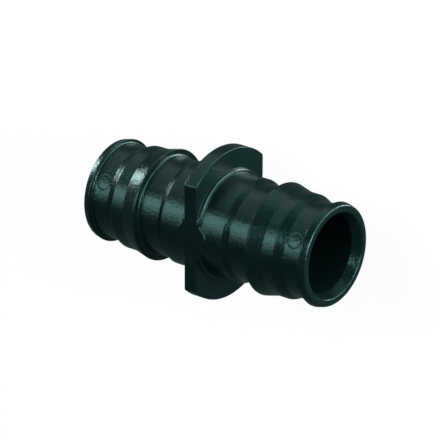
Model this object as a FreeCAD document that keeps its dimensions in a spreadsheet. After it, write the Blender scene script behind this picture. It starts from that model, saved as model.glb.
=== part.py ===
"""Ringed pipe coupling, moulded in one piece: two mirrored spigots either side of a flange with wrench flats.

The axis runs along X, the wrench flats face up and down, and the origin is the centre of the coupling.
Lengths are in millimetres. A pipe is stretched over each spigot: it seals on the ring and on the lip,
shrinks into the grooves between them and stops against the flange.
"""
import FreeCAD, Part
import os
import Sketcher

NODE = "coupling_body"

# Driving sizes: alias, value in millimetres (one angle, in degrees), what it measures
SIZES = [
    ("spigot_diameter", 26.6, "outside of the plain lands and of the lip"),
    ("wall_thickness", 3.35, "from the bore to the plain lands"),
    ("flange_diameter", 39.0, "round rim of the centre flange"),
    ("flange_thickness", 3.7, "along the axis"),
    ("flange_rim_round", 0.2, "radius on both rims of the flange"),
    ("flat_rise", 0.2, "from the lands up to each wrench flat: 27 mm across the flats"),
    ("collar_rise", 0.9, "collar beside the flange, above the lands"),
    ("collar_length", 1.1, "from the flange to the collar's shoulder"),
    ("collar_corner_round", 0.35, "round on the collar's outer corner"),
    ("collar_root_round", 0.3, "hollow round at the foot of the collar"),
    ("root_land_length", 6.5, "plain land next to the collar"),
    ("root_ramp_length", 1.5, "slope from the root land into the root groove"),
    ("root_groove_depth", 0.8, "below the lands"),
    ("root_groove_length", 6.2, "up to the wall of the sealing ring"),
    ("root_groove_round", 1.0, "hollow round between the root groove and the ring's wall"),
    ("ring_rise", 1.12, "crest of the sealing ring, above the lands"),
    ("ring_cone_length", 4.4, "long cone that stretches the pipe over the ring"),
    ("middle_land_length", 3.5, "plain land between the cone and the tip ramp"),
    ("tip_ramp_length", 2.1, "slope from the middle land into the tip groove"),
    ("tip_groove_depth", 1.1, "below the lands"),
    ("tip_groove_length", 5.2, "up to the wall of the lip"),
    ("tip_groove_round", 0.55, "hollow round between the tip groove and the lip's wall"),
    ("lip_length", 1.95, "from the lip's wall to the end face"),
    ("lip_taper_drop", 0.5, "how much lower the lip is at its front than at its wall"),
    ("lip_nose_round", 0.45, "round between the lip and the end face"),
    ("crest_round", 0.15, "small round on the crests of the ring and the lip"),
    ("mouth_widening", 1.15, "how far the mouth's edge lies outside the bore"),
    ("lead_in_length", 2.5, "cone from the mouth into the bore"),
    ("mouth_round", 0.15, "round between the end face and the lead-in"),
    ("insert_pad_diameter", 9.0, "round pad on the upper flat, where the mould has an insert"),
    ("insert_pad_depth", 1.4, "how deep the pad reaches below the flat"),
    ("pin_mark_diameter", 3.8, "round mark that an ejector pin leaves on each tip groove"),
    ("pin_mark_depth", 0.2, "below the crown of the tip groove"),
    ("pin_mark_angle", 31.5, "degrees about the axis, from the upper flat's normal"),
    ("pin_mark_setback", 4.75, "from the end face to the centre of the mark"),
]



def half_of(alias):
    """Half of a size: a radius from a diameter, or one side's share of a thickness."""
    return [(0.5, alias)]


# Lengths that follow from the driving sizes, as terms of (factor, alias) that are added up
LAND = half_of("spigot_diameter")
BORE = LAND + [(-1, "wall_thickness")]
COLLAR = LAND + [(1, "collar_rise")]
ROOT_GROOVE = LAND + [(-1, "root_groove_depth")]
RING_CREST = LAND + [(1, "ring_rise")]
TIP_GROOVE = LAND + [(-1, "tip_groove_depth")]
LIP_FRONT = LAND + [(-1, "lip_taper_drop")]
MOUTH = BORE + [(1, "mouth_widening")]
FLAT = LAND + [(1, "flat_rise")]
FLANGE_RIM = half_of("flange_diameter")

# Places along the axis, from the centre of the coupling
FLANGE_FACE = half_of("flange_thickness")
COLLAR_SHOULDER = FLANGE_FACE + [(1, "collar_length")]
RING_WALL = COLLAR_SHOULDER + [
    (1, "root_land_length"),
    (1, "root_ramp_length"),
    (1, "root_groove_length"),
]
LIP_WALL = RING_WALL + [
    (1, "ring_cone_length"),
    (1, "middle_land_length"),
    (1, "tip_ramp_length"),
    (1, "tip_groove_length"),
]
END_FACE = LIP_WALL + [(1, "lip_length")]

ON_AXIS = []
UPRIGHT = []

# How near an edge's place and radius have to be to the ones that are looked for
EDGE_MATCH = 1e-4

document = FreeCAD.newDocument("ringed_coupling")
sheet = document.addObject("Spreadsheet::Sheet", "Sizes")
for row, (alias, value, note) in enumerate(SIZES, start=1):
    sheet.set(f"A{row}", alias)
    sheet.set(f"B{row}", str(value))
    sheet.set(f"C{row}", note)
    sheet.setAlias(f"B{row}", alias)
document.recompute()

body = document.addObject("PartDesign::Body", NODE)
body.Label = NODE


def length(terms):
    """The sum of the terms, as a number read from the sheet."""
    return sum(factor * float(sheet.get(alias)) for factor, alias in terms)


def formula(terms):
    """The sum of the terms, as an expression on the sheet's cells."""
    return " + ".join(f"{factor} * <<Sizes>>.{alias}" for factor, alias in terms)


def origin_part(role):
    """One of the body's own origin planes or axes."""
    return next(part for part in body.Origin.OriginFeatures if part.Role == role)


def new_sketch(name, role):
    """An empty sketch on one of the body's origin planes."""
    sketch = body.newObject("Sketcher::SketchObject", name)
    sketch.AttachmentSupport = [(origin_part(role), "")]
    sketch.MapMode = "FlatFace"
    return sketch


def dimension(sketch, name, terms, kind, *ends):
    """A named dimension that follows the sheet."""
    index = sketch.addConstraint(Sketcher.Constraint(kind, *ends, length(terms)))
    sketch.renameConstraint(index, name)
    sketch.setExpression(f"Constraints.{name}", formula(terms))


def draw_section(sketch, corners):
    """A closed half section over the axis: it rises from the origin and comes back to the axis.

    Each corner is (name, run, radius): how far it lies beyond the last corner along the axis, and how far
    from the axis. UPRIGHT is no run at all, and ON_AXIS is no radius.
    """
    axis, origin = -1, (-1, 1)
    along, last_radius = 0.0, ON_AXIS
    place = FreeCAD.Vector(0, 0, 0)
    for line, (name, run, radius) in enumerate(corners):
        along += length(run)
        next_place = FreeCAD.Vector(along, length(radius), 0)
        sketch.addGeometry(Part.LineSegment(place, next_place), False)
        before = (line - 1, 2) if line else origin
        sketch.addConstraint(Sketcher.Constraint("Coincident", *before, line, 1))
        if run == UPRIGHT:
            sketch.addConstraint(Sketcher.Constraint("Vertical", line))
        else:
            dimension(sketch, f"{name}_run", run, "DistanceX", line, 1, line, 2)
        if radius == ON_AXIS:
            sketch.addConstraint(Sketcher.Constraint("PointOnObject", line, 2, axis))
        elif radius == last_radius:
            sketch.addConstraint(Sketcher.Constraint("Horizontal", line))
        else:
            dimension(sketch, f"{name}_radius", radius, "DistanceY", *origin, line, 2)
        place, last_radius = next_place, radius
    closing = sketch.addGeometry(Part.LineSegment(place, FreeCAD.Vector(0, 0, 0)), False)
    sketch.addConstraint(Sketcher.Constraint("Coincident", closing - 1, 2, closing, 1))
    sketch.addConstraint(Sketcher.Constraint("Coincident", closing, 2, *origin))


def draw_circle(sketch, name, diameter_alias):
    """A circle about the sketch's origin, with its diameter from the sheet."""
    radius = length(half_of(diameter_alias))
    sketch.addGeometry(Part.Circle(FreeCAD.Vector(0, 0, 0), FreeCAD.Vector(0, 0, 1), radius), False)
    sketch.addConstraint(Sketcher.Constraint("Coincident", 0, 3, -1, 1))
    dimension(sketch, name, [(1, diameter_alias)], "Diameter", 0)


def draw_flat_cut(sketch, word, side):
    """A rectangle from one wrench flat out to the flange's rim: side is 1 above the axis and -1 below it."""
    origin = (-1, 1)
    rim, flat = length(FLANGE_RIM), length(FLAT)
    outline = [(-rim, flat), (rim, flat), (rim, rim), (-rim, rim)]
    corners = [FreeCAD.Vector(across, side * up, 0) for across, up in outline]
    lines = [sketch.GeometryCount + number for number in range(len(corners))]
    for begin, end in zip(corners, corners[1:] + corners[:1]):
        sketch.addGeometry(Part.LineSegment(begin, end), False)
    for line, following in zip(lines, lines[1:] + lines[:1]):
        sketch.addConstraint(Sketcher.Constraint("Coincident", line, 2, following, 1))
    for line, direction in zip(lines, ["Horizontal", "Vertical", "Horizontal", "Vertical"]):
        sketch.addConstraint(Sketcher.Constraint(direction, line))
    on_flat, on_rim = (lines[0], 1), (lines[2], 1)
    for name, terms, corner in (("flat", FLAT, on_flat), ("reach", FLANGE_RIM, on_rim)):
        ends = (origin, corner) if side > 0 else (corner, origin)
        dimension(sketch, f"{word}_{name}", terms, "DistanceY", *ends[0], *ends[1])
    dimension(sketch, f"{word}_left", FLANGE_RIM, "DistanceX", *on_flat, *origin)
    dimension(sketch, f"{word}_right", FLANGE_RIM, "DistanceX", *origin, *on_rim)


def turned(kind, name, sketch):
    """A full turn of a half section about the axis, as added or removed material."""
    feature = body.newObject(kind, name)
    feature.Profile = sketch
    feature.ReferenceAxis = (origin_part("X_Axis"), [""])
    feature.Angle = 360
    sketch.Visibility = False
    return feature


def mirrored(name, original):
    """The same feature on the other spigot."""
    feature = body.newObject("PartDesign::Mirrored", name)
    feature.Originals = [original]
    feature.MirrorPlane = (origin_part("YZ_Plane"), [""])
    body.Tip = feature
    return feature


def ring_edges(shape, along, radius):
    """The names of the full circles of this radius, on both sides of the centre."""
    names = []
    for number, edge in enumerate(shape.Edges, start=1):
        curve = edge.Curve
        if not isinstance(curve, Part.Circle):
            continue
        place_fits = abs(abs(curve.Center.x) - length(along)) < EDGE_MATCH
        radius_fits = abs(curve.Radius - length(radius)) < EDGE_MATCH
        if place_fits and radius_fits:
            names.append(f"Edge{number}")
    return names


def rounded(name, radius_alias, rings):
    """One radius on several rings of the coupling, each given by its place along the axis and its radius."""
    document.recompute()
    base = body.Tip
    edges = [edge for along, radius in rings for edge in ring_edges(base.Shape, along, radius)]
    if len(edges) != 2 * len(rings):
        raise RuntimeError(f"{name} finds {len(edges)} edges, and each of its {len(rings)} rings needs two")
    feature = body.newObject("PartDesign::Fillet", name)
    feature.Base = (base, edges)
    feature.setExpression("Radius", f"<<Sizes>>.{radius_alias}")
    return feature


def volume():
    """The body's volume so far, after a recompute."""
    document.recompute()
    return body.Shape.Volume


def check_change(name, before, sign):
    """Stops the build if a feature added nothing, or removed nothing."""
    change = (volume() - before) * sign
    if change <= 0:
        raise RuntimeError(f"{name} changes the volume by {change:.4f} mm3")


# One spigot, solid to the axis: collar, lands, grooves, sealing ring and lip
spigot_sketch = new_sketch("spigot_section", "XY_Plane")
draw_section(
    spigot_sketch,
    [
        ("centre", UPRIGHT, COLLAR),
        ("collar", COLLAR_SHOULDER, COLLAR),
        ("collar_wall", UPRIGHT, LAND),
        ("root_land", [(1, "root_land_length")], LAND),
        ("root_ramp", [(1, "root_ramp_length")], ROOT_GROOVE),
        ("root_groove", [(1, "root_groove_length")], ROOT_GROOVE),
        ("ring_wall", UPRIGHT, RING_CREST),
        ("ring_cone", [(1, "ring_cone_length")], LAND),
        ("middle_land", [(1, "middle_land_length")], LAND),
        ("tip_ramp", [(1, "tip_ramp_length")], TIP_GROOVE),
        ("tip_groove", [(1, "tip_groove_length")], TIP_GROOVE),
        ("lip_wall", UPRIGHT, LAND),
        ("lip_taper", [(1, "lip_length")], LIP_FRONT),
        ("end_face", UPRIGHT, ON_AXIS),
    ],
)
spigot = turned("PartDesign::Revolution", "spigot", spigot_sketch)
document.recompute()
mirrored("both_spigots", spigot)

# The centre flange, a disc that both spigots run into
flange_sketch = new_sketch("flange_disc", "YZ_Plane")
draw_circle(flange_sketch, "rim", "flange_diameter")
flange = body.newObject("PartDesign::Pad", "flange")
flange.Profile = flange_sketch
flange.SideType = "Symmetric"
flange.setExpression("Length", "<<Sizes>>.flange_thickness")
flange_sketch.Visibility = False

# Rounds of the moulding, while every edge is still a full ring
rounded("flange_rims", "flange_rim_round", [(FLANGE_FACE, FLANGE_RIM)])
rounded("collar_roots", "collar_root_round", [(COLLAR_SHOULDER, LAND)])
rounded("root_groove_ends", "root_groove_round", [(RING_WALL, ROOT_GROOVE)])
rounded("tip_groove_ends", "tip_groove_round", [(LIP_WALL, TIP_GROOVE)])
rounded("lip_noses", "lip_nose_round", [(END_FACE, LIP_FRONT)])
rounded("collar_corners", "collar_corner_round", [(COLLAR_SHOULDER, COLLAR)])
rounded("crests", "crest_round", [(RING_WALL, RING_CREST), (LIP_WALL, LAND)])

# The wrench flats cut the flange and the collars on both of its sides, hollow rounds and all
FLATS_REACH = COLLAR_SHOULDER + [(1, "collar_root_round")]
flats_sketch = new_sketch("flat_cuts", "YZ_Plane")
draw_flat_cut(flats_sketch, "upper", 1)
draw_flat_cut(flats_sketch, "lower", -1)
before = volume()
flats = body.newObject("PartDesign::Pocket", "wrench_flats")
flats.Profile = flats_sketch
flats.SideType = "Symmetric"
flats.setExpression("Length", f"2 * ({formula(FLATS_REACH)})")
flats_sketch.Visibility = False
check_change("wrench_flats", before, -1)

# A round insert of the mould leaves a pad, level with the upper flat, that reaches past the collars
pad_sketch = new_sketch("insert_disc", "XY_Plane")
draw_circle(pad_sketch, "insert", "insert_pad_diameter")
pad_sketch.setExpression("AttachmentOffset.Base.z", f"{formula(FLAT)} - <<Sizes>>.insert_pad_depth")
before = volume()
pad = body.newObject("PartDesign::Pad", "insert_pad")
pad.Profile = pad_sketch
pad.setExpression("Length", "<<Sizes>>.insert_pad_depth")
pad_sketch.Visibility = False
check_change("insert_pad", before, 1)

# The mark of an ejector pin on each tip groove: a round recess with a flat floor
mark_sketch = new_sketch("pin_disc", "XY_Plane")
mark_sketch.AttachmentOffset = FreeCAD.Placement(
    FreeCAD.Vector(0, 0, 1), FreeCAD.Rotation(FreeCAD.Vector(1, 0, 0), 1)
)
floor = f"({formula(TIP_GROOVE)} - <<Sizes>>.pin_mark_depth)"
mark_sketch.setExpression("AttachmentOffset.Rotation.Angle", "<<Sizes>>.pin_mark_angle")
mark_sketch.setExpression("AttachmentOffset.Base.y", f"-{floor} * sin(<<Sizes>>.pin_mark_angle)")
mark_sketch.setExpression("AttachmentOffset.Base.z", f"{floor} * cos(<<Sizes>>.pin_mark_angle)")
mark_centre = END_FACE + [(-1, "pin_mark_setback")]
mark_sketch.addGeometry(
    Part.Circle(
        FreeCAD.Vector(length(mark_centre), 0, 0),
        FreeCAD.Vector(0, 0, 1),
        length(half_of("pin_mark_diameter")),
    ),
    False,
)
mark_sketch.addConstraint(Sketcher.Constraint("PointOnObject", 0, 3, -1))
dimension(mark_sketch, "pin_place", mark_centre, "DistanceX", -1, 1, 0, 3)
dimension(mark_sketch, "pin", [(1, "pin_mark_diameter")], "Diameter", 0)
before = volume()
mark = body.newObject("PartDesign::Pocket", "pin_mark")
mark.Profile = mark_sketch
mark.Reversed = True
mark.setExpression("Length", "<<Sizes>>.tip_groove_depth")
mark_sketch.Visibility = False
check_change("pin_mark", before, -1)
mirrored("both_pin_marks", mark)

# The bore with a lead-in at each mouth, cut through everything
bore_sketch = new_sketch("bore_section", "XY_Plane")
draw_section(
    bore_sketch,
    [
        ("centre", UPRIGHT, BORE),
        ("bore", END_FACE + [(-1, "lead_in_length")], BORE),
        ("lead_in", [(1, "lead_in_length")], MOUTH),
        ("mouth", UPRIGHT, ON_AXIS),
    ],
)
before = volume()
bore = turned("PartDesign::Groove", "bore", bore_sketch)
check_change("bore", before, -1)
mirrored("both_bores", bore)
rounded("mouth_edges", "mouth_round", [(END_FACE, MOUTH)])

document.recompute()
for item in document.Objects:
    if "Invalid" in item.State or "Error" in item.State:
        raise RuntimeError(f"{item.Name} failed: {item.State}")
shape = body.Shape
if shape.isNull() or not shape.isValid() or len(shape.Solids) != 1:
    raise RuntimeError("the coupling isn't one valid solid")

os.makedirs("parts", exist_ok=True)
shape.exportStep(f"parts/{NODE}.step")
box = shape.optimalBoundingBox(True, False)
print(f"{NODE}: {box.XLength:.2f} x {box.YLength:.2f} x {box.ZLength:.2f} mm, {shape.Volume:.0f} mm3")
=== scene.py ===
# %% [markdown]
# # A moulded pipe coupling
#
# The real thing is one piece of near-black plastic, 69 mm long: two ringed spigots, a round flange between
# them and a bore through it all. This lesson shapes it from one formula, gives it a satin moulded finish and
# lights it with softboxes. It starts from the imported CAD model, which fixes the size and the place of
# everything, in metres.

import bmesh
import bpy
import numpy as np
from mathutils import Matrix, Vector


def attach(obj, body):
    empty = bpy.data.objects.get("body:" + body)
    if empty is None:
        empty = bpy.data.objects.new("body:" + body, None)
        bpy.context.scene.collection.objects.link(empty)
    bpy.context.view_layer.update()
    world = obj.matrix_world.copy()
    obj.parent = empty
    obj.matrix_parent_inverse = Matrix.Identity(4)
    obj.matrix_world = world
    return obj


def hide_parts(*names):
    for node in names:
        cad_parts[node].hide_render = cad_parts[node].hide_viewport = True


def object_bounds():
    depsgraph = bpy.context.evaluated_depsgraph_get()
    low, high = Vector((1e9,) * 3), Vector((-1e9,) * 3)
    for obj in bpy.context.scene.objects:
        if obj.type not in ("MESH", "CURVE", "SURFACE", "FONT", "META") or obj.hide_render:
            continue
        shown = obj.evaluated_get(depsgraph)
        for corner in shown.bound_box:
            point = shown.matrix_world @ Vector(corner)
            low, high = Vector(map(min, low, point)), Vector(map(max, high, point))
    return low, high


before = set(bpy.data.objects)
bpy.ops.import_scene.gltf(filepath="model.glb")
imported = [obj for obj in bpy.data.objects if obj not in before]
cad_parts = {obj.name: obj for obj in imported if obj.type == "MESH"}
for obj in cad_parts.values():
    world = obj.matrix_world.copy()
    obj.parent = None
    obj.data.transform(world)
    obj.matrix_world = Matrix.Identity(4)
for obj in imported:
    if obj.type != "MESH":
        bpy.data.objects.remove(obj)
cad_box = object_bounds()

MM = 0.001
print("nodes:", sorted(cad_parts), "box:", [list(corner) for corner in cad_box])

# %% [markdown]
# ## The camera
#
# The camera comes first, because it says which details will be seen. The photo was taken from over a metre
# away with a long lens, so the spigots hardly taper. The coupling's -Y side was up when it was photographed,
# with the upper wrench flat turned towards the viewer. A camera is easiest to place by the point that it
# looks at, the direction back to it, and which way is up in the picture.

# %% The camera
SENSOR_WIDTH = 36.0
FOCAL_LENGTH = 354.8
NEAREST_SEEN = 0.05
CAMERA_DISTANCE = 1.0738
PICTURE_ROLL = np.radians(0.10)
LOOK_AT = Vector((0.75, -0.38, 0.38)) * MM
TOWARDS_CAMERA = Vector((-0.56019, -0.39766, 0.72667)).normalized()
PICTURE_UP = Vector((0, -1, 0))


def add_camera():
    """A camera whose columns are right, up and back: right is up crossed with back."""
    right = PICTURE_UP.cross(TOWARDS_CAMERA).normalized()
    up = TOWARDS_CAMERA.cross(right)
    turn = Matrix((right, up, TOWARDS_CAMERA)).transposed().to_4x4()
    turn = turn @ Matrix.Rotation(PICTURE_ROLL, 4, "Z")
    data = bpy.data.cameras.new("photo_camera")
    data.sensor_width = SENSOR_WIDTH
    data.lens = FOCAL_LENGTH
    data.clip_start = NEAREST_SEEN
    camera = bpy.data.objects.new("photo_camera", data)
    camera.matrix_world = Matrix.Translation(LOOK_AT + TOWARDS_CAMERA * CAMERA_DISTANCE) @ turn
    bpy.context.scene.collection.objects.link(camera)
    bpy.context.scene.camera = camera
    return camera


camera = add_camera()
print("camera at", [round(value, 3) for value in camera.matrix_world.translation])

# %% [markdown]
# ## The section
#
# A turned shape is a section carried round an axis, and a moulded one has a small round on every corner. The
# section could be drawn as a curve and spun, but then the wrench flats would have to be cut afterwards, and
# such cuts leave hard edges. Here each corner of the section may move as the section goes round: where a flat
# cuts the flange, the flange's corner simply comes closer to the axis. The flats, their soft edges and the
# rounds then all come out of one closed skin.
#
# Angles are measured about the axis from +Z, the upper flat, towards -Y. Lengths are in millimetres until the
# mesh is made.

# %% Sizes of the section
FLANGE_HALF, FLANGE_RADIUS = 1.85, 19.5
COLLAR_END, COLLAR_RADIUS, COLLAR_BEVEL = 2.80, 14.2, 0.38
LAND_RADIUS, BORE_RADIUS, MOUTH_RADIUS = 13.3, 9.95, 11.1
FLAT_HEIGHT, FLAT_EDGE_SOFTNESS = 13.5, 0.3
PAD_RADIUS, PAD_EDGE_SOFTNESS = 4.5, 0.25
RAMP_START, GROOVE_START, GROOVE_RADIUS = 9.45, 10.95, 12.5
RING_WALL, CREST_RADIUS, CONE_END = 17.15, 14.40, 21.55
TIP_RAMP_START, TIP_GROOVE_START, TIP_GROOVE_RADIUS = 25.05, 27.15, 12.2
LIP_WALL, LIP_FRONT_RADIUS, END_FACE, LEAD_IN_END = 32.35, 12.8, 34.3, 31.8
PIN_PLACE, PIN_ANGLE, PIN_RADIUS = 29.55, 31.5, 1.9
print("length:", 2 * END_FACE, "mm, across the flange:", 2 * FLANGE_RADIUS, "mm")

# %% [markdown]
# ## Where the skin is fine
#
# Straight sides between the section's copies would show on a glossy round, so a copy stands at every degree
# and a half. Where a flat begins the section changes within a fraction of a millimetre, and the pin mark is
# a thin line, so the copies stand closer there and nowhere else. A Subdivision Surface modifier would refine
# the whole skin alike, and spend most of its faces where nothing happens.

# %% The angles of the copies
ROUND_STEP, LEAST_STEP = 1.5, 0.12
FLAT_EDGE_REACH, FLAT_EDGE_STEP = 1.2, 0.3
PIN_REACH, PIN_STEP = 10.0, 0.6


def close_angles(centre, reach, step):
    """Evenly spaced angles on both sides of a centre, in degrees."""
    return centre + np.arange(-reach, reach + step / 2, step)


def fine_angles():
    """The angles of one turn, in radians. A flat's edge lies where radius times cosine is its height."""
    edges = np.degrees(np.arccos(FLAT_HEIGHT / np.array([FLANGE_RADIUS, COLLAR_RADIUS])))
    centres = [place for edge in edges for place in (edge, -edge, 180 - edge, edge - 180)]
    turn = [np.arange(-180, 180, ROUND_STEP), close_angles(PIN_ANGLE, PIN_REACH, PIN_STEP)]
    turn += [close_angles(centre, FLAT_EDGE_REACH, FLAT_EDGE_STEP) for centre in centres]
    turn = np.sort((np.concatenate(turn) + 180) % 360 - 180)
    keep = np.concatenate([[True], np.diff(turn) > LEAST_STEP])
    return np.radians(turn[keep])


ANGLES = fine_angles()
print("angles in one turn:", len(ANGLES))

# %% [markdown]
# ## Corners
#
# The half section runs from the middle of the flange's rim out along the spigot, over the end face and back
# through the bore. Each corner has a place, a radius from the axis, the size of its round, and how many
# pieces the straight stretch before it is divided into. The insert pad on the upper flat needs no separate
# piece: it only pushes the collar's shoulder outwards, along the circle of the pad.
#
# One broad bright line follows the collar's corner. A round there would be held down by the short face
# beside it, so the corner is a small bevel with soft ends, and the feet of the collar stay nearly sharp.

# %% The corners of the half section
LEAST_COSINE = 1e-3
PAD_WIDEST_ANGLE = 0.5
BEVEL_SHARE = 0.55


def soft_min(a, b, softness):
    """The smaller of a and b, with the corner between them rounded off over about the softness.

    The share of a grows from 0 to 1 as b less a goes from minus the softness to plus the softness. The two
    are mixed by that share, less a parabola that is highest where they are equal.
    """
    share = np.clip(0.5 + 0.5 * (b - a) / softness, 0, 1)
    return b * (1 - share) + a * share - softness * share * (1 - share)


def soft_max(a, b, softness):
    """The larger of a and b, rounded in the same way."""
    return -soft_min(-a, -b, softness)


def corners_round_the_turn(angle):
    """Corners as (along, radius, round, pieces). Along and radius may be arrays with one value per angle.

    A flat at height h cuts the section at h over the cosine of the angle. The pad's circle of radius p
    reaches along to the root of p squared less the sideways distance squared.
    """
    flat = FLAT_HEIGHT / np.maximum(np.abs(np.cos(angle)), LEAST_COSINE)
    collar = soft_min(COLLAR_RADIUS, flat, FLAT_EDGE_SOFTNESS)
    rim = np.maximum(soft_min(FLANGE_RADIUS, flat, FLAT_EDGE_SOFTNESS), collar)
    sideways = FLAT_HEIGHT * np.tan(np.clip(angle, -PAD_WIDEST_ANGLE, PAD_WIDEST_ANGLE))
    pad = np.sqrt(np.maximum(PAD_RADIUS**2 - sideways**2, 0))
    shoulder = soft_max(COLLAR_END, pad, PAD_EDGE_SOFTNESS)
    bevel = np.minimum(COLLAR_BEVEL, BEVEL_SHARE * (collar - LAND_RADIUS))
    return [
        (0, rim, 0, 0),
        (FLANGE_HALF, rim, 0.2, 3),
        (FLANGE_HALF, collar, 0.06, 5),
        (shoulder - bevel, collar, 0.2, 2),
        (shoulder, collar - bevel, 0.2, 1),
        (shoulder, LAND_RADIUS, 0.08, 1),
        (RAMP_START, LAND_RADIUS, 0.3, 6),
        (GROOVE_START, GROOVE_RADIUS, 0.3, 2),
        (RING_WALL, GROOVE_RADIUS, 1.0, 5),
        (RING_WALL, CREST_RADIUS, 0.15, 1),
        (CONE_END, LAND_RADIUS, 0.3, 5),
        (TIP_RAMP_START, LAND_RADIUS, 0.9, 4),
        (TIP_GROOVE_START, TIP_GROOVE_RADIUS, 0.9, 3),
        (LIP_WALL, TIP_GROOVE_RADIUS, 0.55, 28),
        (LIP_WALL, LAND_RADIUS, 0.15, 1),
        (END_FACE, LIP_FRONT_RADIUS, 0.55, 3),
        (END_FACE, MOUTH_RADIUS, 0.25, 2),
        (LEAD_IN_END, BORE_RADIUS, 0.3, 3),
        (0, BORE_RADIUS, 0, 8),
    ]


print("corners in the half section:", len(corners_round_the_turn(ANGLES)))

# %% [markdown]
# ## Rounds
#
# A Bevel modifier could round the corners, but it gives all of them one size and knows nothing of the places
# where they move. An arc worked out from the two straight lines beside each corner follows them exactly.

# %% Rounds on the corners
ROUND_PIECES = 4
SHARPEST_HALF, BLUNTEST_HALF = 0.05, np.pi / 2 - 1e-3
SHARE_OF_LINE = 0.45


def unit(vectors):
    """Each vector over its own length. A vector of no length stays as it is."""
    lengths = np.linalg.norm(vectors, axis=-1, keepdims=True)
    return vectors / np.maximum(lengths, 1e-9)


def arc(before, corner, after, radius):
    """A round of this radius in the corner between two straight lines, as a list of points.

    The centre lies on the line that halves the corner, at radius over the sine of half the corner's angle.
    The points swing from one line's touching point to the other's. A short line makes the radius smaller.
    """
    back, ahead = unit(before - corner), unit(after - corner)
    half = np.arccos(np.clip((back * ahead).sum(-1), -1, 1)) / 2
    half = np.clip(half, SHARPEST_HALF, BLUNTEST_HALF)
    shortest = np.minimum(np.linalg.norm(before - corner, axis=-1), np.linalg.norm(after - corner, axis=-1))
    radius = np.minimum(radius, SHARE_OF_LINE * shortest * np.tan(half))
    centre = corner + unit(back + ahead) * (radius / np.sin(half))[:, None]
    start = corner + back * (radius / np.tan(half))[:, None] - centre
    end = corner + ahead * (radius / np.tan(half))[:, None] - centre
    swing = (np.pi - 2 * half)[:, None]
    shares = np.linspace(0, 1, ROUND_PIECES + 1)
    parts = [(np.sin((1 - share) * swing), np.sin(share * swing)) for share in shares]
    return [centre + (first * start + second * end) / np.sin(swing) for first, second in parts]


def half_section(angle):
    """Rows of points (along, radius) from the rim's middle to the bore's middle, one column per angle."""
    corners = corners_round_the_turn(angle)
    points = [np.stack(np.broadcast_arrays(*corner[:2], angle)[:2], -1) for corner in corners]
    rows = [points[0]]
    for number in range(1, len(corners)):
        size, pieces = corners[number][2:]
        is_last = number + 1 == len(corners)
        turn = [points[number]] if is_last else arc(*points[number - 1 : number + 2], size)
        start = rows[-1]
        rows += [start + (turn[0] - start) * share for share in np.arange(1, pieces) / pieces]
        rows += turn
    return np.stack(rows)


section = half_section(ANGLES)
print("rows in the half section:", section.shape[0])

# %% [markdown]
# ## Marks of the mould
#
# A moulded part shows how it was made. A pin that pushed the coupling out of the mould left a thin round
# groove on each tip groove. It is a small change of the radius, so it is taken off the section's radii before
# anything becomes a mesh. A gaussian bump is used, because it has no edge that a coarse mesh could miss.

# %% The pin marks
PIN_GROOVE_DEPTH, PIN_GROOVE_WIDTH = 0.10, 0.14
OUTSIDE_RADIUS = 11.7


def bump(distance, width):
    """One at the middle, falling off as e to the minus (distance over width) squared."""
    return np.exp(-((distance / width) ** 2))


def pin_marks(section, angle):
    """The section with its outside radii lowered along the pin mark's circle.

    A point's distance from the pin is the root of its distance along squared plus that around squared.
    """
    along, radius = section[..., 0], section[..., 1]
    around = TIP_GROOVE_RADIUS * (angle - np.radians(PIN_ANGLE))[None, :]
    from_pin = np.hypot(along - PIN_PLACE, around)
    groove = PIN_GROOVE_DEPTH * bump(from_pin - PIN_RADIUS, PIN_GROOVE_WIDTH)
    return np.stack([along, radius - np.where(radius > OUTSIDE_RADIUS, groove, 0)], -1)


section = pin_marks(section, ANGLES)
print("lowest and highest radius:", section[..., 1].min().round(2), section[..., 1].max().round(2))

# %% [markdown]
# ## From section to skin
#
# The second spigot is the first one mirrored, so the half section is joined to its own mirror image. That
# makes a ring of rows, and the angles make a ring of columns: together they are a closed skin like a
# doughnut's, with no seam and no pole. Where the flat meets the collar, some rows fall on one another, and
# merging them takes out the faces that have no area.

# %% The skin
MERGE_DISTANCE = 0.002 * MM
SHARP_ANGLE = np.radians(35)


def closed_loop(half):
    """The half section followed by its mirror image, without the rows that lie on the mirror plane twice."""
    mirror = half[-2:0:-1] * np.array([-1, 1])
    return np.concatenate([half, mirror])


def skin_points(loop, angle):
    """Points in metres: along stays, and the radius turns to -sine in Y and cosine in Z."""
    along, radius = loop[..., 0], loop[..., 1]
    return np.stack([along, -radius * np.sin(angle), radius * np.cos(angle)], -1).reshape(-1, 3) * MM


def skin_faces(rows, columns):
    """A quad for each cell of the ring of rows by the ring of columns."""
    row, column = np.meshgrid(np.arange(rows), np.arange(columns), indexing="ij")
    next_row, next_column = (row + 1) % rows, (column + 1) % columns
    cells = [(row, column), (row, next_column), (next_row, next_column), (next_row, column)]
    return np.stack([r * columns + c for r, c in cells], -1).reshape(-1, 4)


def merge_doubles(mesh):
    """Joins points that lie on one another, and turns the faces outwards."""
    work = bmesh.new()
    work.from_mesh(mesh)
    bmesh.ops.remove_doubles(work, verts=work.verts, dist=MERGE_DISTANCE)
    bmesh.ops.recalc_face_normals(work, faces=work.faces)
    work.to_mesh(mesh)
    work.free()


def add_coupling(section, angle):
    """The coupling's mesh, smooth but for its sharp edges, as an object at the origin."""
    loop = closed_loop(section)
    points, faces = skin_points(loop, angle), skin_faces(*loop.shape[:2])
    mesh = bpy.data.meshes.new("coupling")
    mesh.from_pydata(points.tolist(), [], faces.tolist())
    merge_doubles(mesh)
    mesh.shade_smooth()
    mesh.set_sharp_from_angle(angle=SHARP_ANGLE)
    coupling = bpy.data.objects.new("coupling", mesh)
    bpy.context.scene.collection.objects.link(coupling)
    return coupling


coupling = add_coupling(section, ANGLES)
print("triangles:", sum(len(face.vertices) - 2 for face in coupling.data.polygons))

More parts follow.
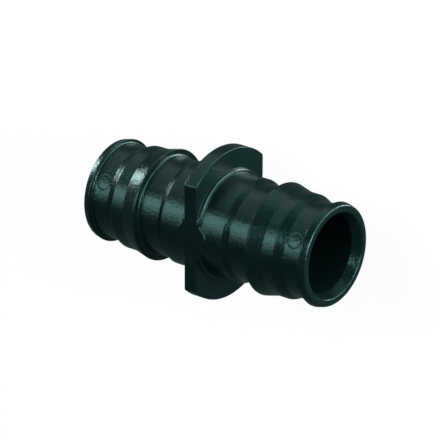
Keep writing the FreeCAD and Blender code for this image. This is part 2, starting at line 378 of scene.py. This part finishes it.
# %% [markdown]
# ## Writing shader maths as Python
#
# A material is a graph of nodes, and sums in it are nodes as well. A small class that holds one socket lets
# the sums be written as plain expressions, also where a number stands first, as in 1 - mask. Numbers alone
# are worked out in Python and never become nodes.

# %% A socket that can be added and multiplied
class Wire:
    """One socket of a graph."""

    def __init__(self, tree, socket):
        self.tree = tree
        self.socket = socket

    def node(self, kind, inputs=(), output=0, **settings):
        """Adds any node: its settings first, then the values or wires of its sockets."""
        made = self.tree.nodes.new(kind)
        for name, value in settings.items():
            setattr(made, name, value)
        for name, value in dict(inputs).items():
            if isinstance(value, Wire):
                self.tree.links.new(value.socket, made.inputs[name])
            else:
                made.inputs[name].default_value = value
        return Wire(self.tree, made.outputs[output])

    def maths(self, operation, first, second):
        return self.node("ShaderNodeMath", {0: first, 1: second}, operation=operation)

    def mixed_colour(self, factor, first, second):
        """A colour that goes from the first to the second as the factor goes from 0 to 1."""
        inputs = {"Factor": factor, "A": first, "B": second}
        return self.node("ShaderNodeMix", inputs, output="Result", data_type="RGBA")

    def __add__(self, other):
        return self.maths("ADD", self, other)

    def __sub__(self, other):
        return self.maths("SUBTRACT", self, other)

    def __rsub__(self, other):
        return self.maths("SUBTRACT", other, self)

    def __mul__(self, other):
        return self.maths("MULTIPLY", self, other)

    __radd__ = __add__
    __rmul__ = __mul__


def empty_material(name):
    """A material with nothing but its output, a wire to build from, and the output's surface socket."""
    material = bpy.data.materials.new(name)
    material.use_nodes = True
    tree = material.node_tree
    tree.nodes.clear()
    output = tree.nodes.new("ShaderNodeOutputMaterial")
    return material, Wire(tree, None), output.inputs["Surface"]


print("graph helper ready")

# %% [markdown]
# ## Satin moulded plastic
#
# The plastic is almost black with a cold green tint, and its gloss is satin: softboxes show as bands with
# fairly crisp edges. Close up, the bands are speckled, because the mould's steel was finely textured. The
# speckle is a low bump at grain size with some variation of the roughness, and the colour varies a little at
# a larger scale, as where the melt flowed. An image could give the speckle too, but it would repeat and need
# unwrapping. Noise needs neither: all of it reads object coordinates, in metres.

# %% The plastic
GRAIN_PER_METRE, GRAIN_DETAIL, GRAIN_FALLOFF = 1500.0, 3.0, 0.6
FLOW_PER_METRE, FLOW_DETAIL = 160.0, 2.0
GRAIN_HEIGHT = 0.10 * MM
SMOOTHEST, GRAIN_ROUGHNESS, FLOW_ROUGHNESS = 0.10, 0.14, 0.06
PLASTIC_DARK = (0.0016, 0.0060, 0.0064, 1)
PLASTIC_LIGHT = (0.0028, 0.0095, 0.0098, 1)
GLOSS_TINT = (0.42, 1.0, 0.93, 1)
PLASTIC_IOR = 1.5


def noise(graph, per_metre, detail, **more):
    """A noise that sits in the piece, with this many of its largest grains to a metre."""
    place = graph.node("ShaderNodeTexCoord", output="Object")
    return graph.node("ShaderNodeTexNoise", {"Vector": place, "Scale": per_metre, "Detail": detail, **more})


def moulded_plastic():
    """Near-black satin plastic with a fine texture."""
    material, graph, surface = empty_material("moulded_plastic")
    grain = noise(graph, GRAIN_PER_METRE, GRAIN_DETAIL, Roughness=GRAIN_FALLOFF)
    flow = noise(graph, FLOW_PER_METRE, FLOW_DETAIL)
    relief = graph.node("ShaderNodeBump", {"Height": grain, "Strength": 1.0, "Distance": GRAIN_HEIGHT})
    shader = graph.node(
        "ShaderNodeBsdfPrincipled",
        {
            "Base Color": graph.mixed_colour(flow, PLASTIC_DARK, PLASTIC_LIGHT),
            "Roughness": SMOOTHEST + grain * GRAIN_ROUGHNESS + flow * FLOW_ROUGHNESS,
            "Normal": relief,
            "IOR": PLASTIC_IOR,
            "Specular Tint": GLOSS_TINT,
        },
    )
    graph.tree.links.new(shader.socket, surface)
    return material


coupling.data.materials.append(moulded_plastic())
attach(coupling, "root")
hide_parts("coupling_body")
print("material:", coupling.data.materials[0].name)

# %% [markdown]
# ## The floor
#
# The coupling lies on its two sealing rings, with a wrench flat down. The picture's background is white, so
# rays from the camera see the floor mostly as white and a little as lit, and the coupling still casts a faint
# shadow. The white's level makes up for the lit share, which is darker, so the open floor comes out just
# white. The floor acts like a light table: lamps may stand lower than its surface, so it neither blocks them
# nor shows in reflections, where the plain surroundings show instead.
#
# Which rays see white is the same for the floor and the surroundings. The camera's rays do, and so would rays
# through glass. Glossy rays see a small share of it, because the photo's gloss is dark wherever it mirrors no
# lamp, and full white would wash it out. The floor is not much larger than the view from above needs: its far
# part would show as a grey strip in a view from the side.

# %% The floor
FLOOR_SIZE = 1.6
FLOOR_COLOUR = (0.8, 0.8, 0.8, 1)
WHITE = (1, 1, 1, 1)
WHITE_SHARE, WHITE_LEVEL = 0.85, 1.10
WHITE_IN_GLOSS = 0.06


def whiteness(graph):
    """How white the background is to a ray: 1 from the camera or through glass, and a little in gloss."""
    camera_ray = graph.node("ShaderNodeLightPath", output="Is Camera Ray")
    glass_ray = graph.node("ShaderNodeLightPath", output="Is Transmission Ray")
    glossy_ray = graph.node("ShaderNodeLightPath", output="Is Glossy Ray")
    return camera_ray + glass_ray + glossy_ray * WHITE_IN_GLOSS


def pale_floor():
    """Diffuse under the lamps, and mostly plain white to the camera."""
    material, graph, surface = empty_material("pale_floor")
    lit = graph.node("ShaderNodeBsdfDiffuse", {"Color": FLOOR_COLOUR})
    white = graph.node("ShaderNodeEmission", {"Color": WHITE, "Strength": WHITE_LEVEL})
    mixed = graph.node("ShaderNodeMixShader", {0: whiteness(graph) * WHITE_SHARE, 1: lit, 2: white})
    graph.tree.links.new(mixed.socket, surface)
    return material


def add_floor(height):
    """A square at this height, not attached to the coupling, that casts no shadow and shows in no gloss."""
    half = FLOOR_SIZE / 2
    corners = [(-half, -half, height), (half, -half, height), (half, half, height), (-half, half, height)]
    mesh = bpy.data.meshes.new("floor")
    mesh.from_pydata(corners, [], [(0, 1, 2, 3)])
    mesh.materials.append(pale_floor())
    floor = bpy.data.objects.new("floor", mesh)
    bpy.context.scene.collection.objects.link(floor)
    floor.visible_shadow = False
    floor.visible_glossy = False
    return floor


floor = add_floor(cad_box[0][2])
print("floor at", round(cad_box[0][2] / MM, 2), "mm")

# %% [markdown]
# ## The light
#
# On dark plastic one sees the lamps' reflections more than the plastic itself, so each softbox is placed by
# the band that it makes. On a cylinder a band at one angle mirrors a lamp at twice that angle, less the
# camera's own. The strength follows as well: plastic mirrors about a twenty-fifth of what stands before it.
# Lamps far out along the axis hardly show on the spigots, and light what faces that way: the ramps, and the
# corners of the collar and the lip. The two edge lights are there for those corners.
#
# A softbox is given by its direction from the coupling, the way that its long side runs, its length and width
# as seen from one metre, and its radiance.

# %% The softboxes
LAMP_DISTANCE = 1.0
SOFTBOXES = [
    # name, direction, long side, length, width, radiance
    ("band_light", (0.56, -0.34, 0.77), (1, 0, 0), 0.62, 0.30, 4.0),
    ("band_skirt", (0.56, -0.08, 0.82), (1, 0, 0), 0.62, 0.20, 1.7),
    ("broad_light", (0.22, -0.94, -0.22), (1, 0, 0), 1.10, 0.80, 0.7),
    ("front_light", (0.45, -0.77, 0.36), (1, 0, 0), 0.60, 0.40, 0.55),
    ("end_light", (0.94, -0.34, 0.00), (0, 1, 0), 0.28, 0.22, 17.0),
    ("end_upper_light", (0.86, -0.49, 0.13), (0, 1, 0), 0.18, 0.20, 14.0),
    ("right_light", (-0.96, -0.16, 0.08), (0, 0, 1), 0.50, 0.34, 18.0),
    ("back_right_light", (-0.78, -0.18, -0.60), (0.6, 0, -0.78), 0.50, 0.34, 6.0),
    ("back_light", (-0.34, -0.28, -0.90), (1, 0, 0), 0.34, 0.36, 12.0),
    ("mouth_light", (-0.23, -0.46, 0.85), (1, 0, 0), 0.07, 0.10, 40.0),
    ("edge_light", (-0.80, -0.55, 0.22), (0.1, -0.4, -0.56), 0.70, 0.35, 4.5),
    ("back_edge_light", (-0.57, -0.70, -0.43), (0.31, 0.14, -0.64), 0.70, 0.30, 5.0),
]


def add_softbox(name, direction, long_side, length, width, radiance):
    """A rectangular lamp that faces the coupling. Its power is pi times its area times its radiance."""
    direction = Vector(direction).normalized()
    across = direction.cross(Vector(long_side)).normalized()
    turn = Matrix((across.cross(direction), across, direction)).transposed().to_4x4()
    data = bpy.data.lights.new(name, "AREA")
    data.shape = "RECTANGLE"
    data.size = length * LAMP_DISTANCE
    data.size_y = width * LAMP_DISTANCE
    data.energy = np.pi * data.size * data.size_y * radiance
    lamp = bpy.data.objects.new(name, data)
    lamp.matrix_world = Matrix.Translation(direction * LAMP_DISTANCE) @ turn
    lamp.visible_camera = False
    bpy.context.scene.collection.objects.link(lamp)


for softbox in SOFTBOXES:
    add_softbox(*softbox)
print("softboxes:", [softbox[0] for softbox in SOFTBOXES])

# %% [markdown]
# ## The surroundings
#
# The room is white where the camera looks past the floor, and dim and a little cold for everything else, so
# the unlit sides of the plastic stay dark.

# %% The surroundings
ROOM_LEVEL = 0.06
ROOM_TINT = (0.6, 1.0, 0.95, 1)


def studio_world():
    """White to the camera, and near the room's level and tint to all other rays."""
    world = bpy.data.worlds.new("studio")
    world.use_nodes = True
    world.node_tree.nodes.clear()
    graph = Wire(world.node_tree, None)
    white = whiteness(graph)
    colour = graph.mixed_colour(white, ROOM_TINT, WHITE)
    level = ROOM_LEVEL * (1 - white) + white
    background = graph.node("ShaderNodeBackground", {"Color": colour, "Strength": level})
    output = world.node_tree.nodes.new("ShaderNodeOutputWorld")
    world.node_tree.links.new(background.socket, output.inputs["Surface"])
    return world


bpy.context.scene.world = studio_world()
bpy.context.scene.view_settings.view_transform = "Standard"
print("room level:", ROOM_LEVEL)
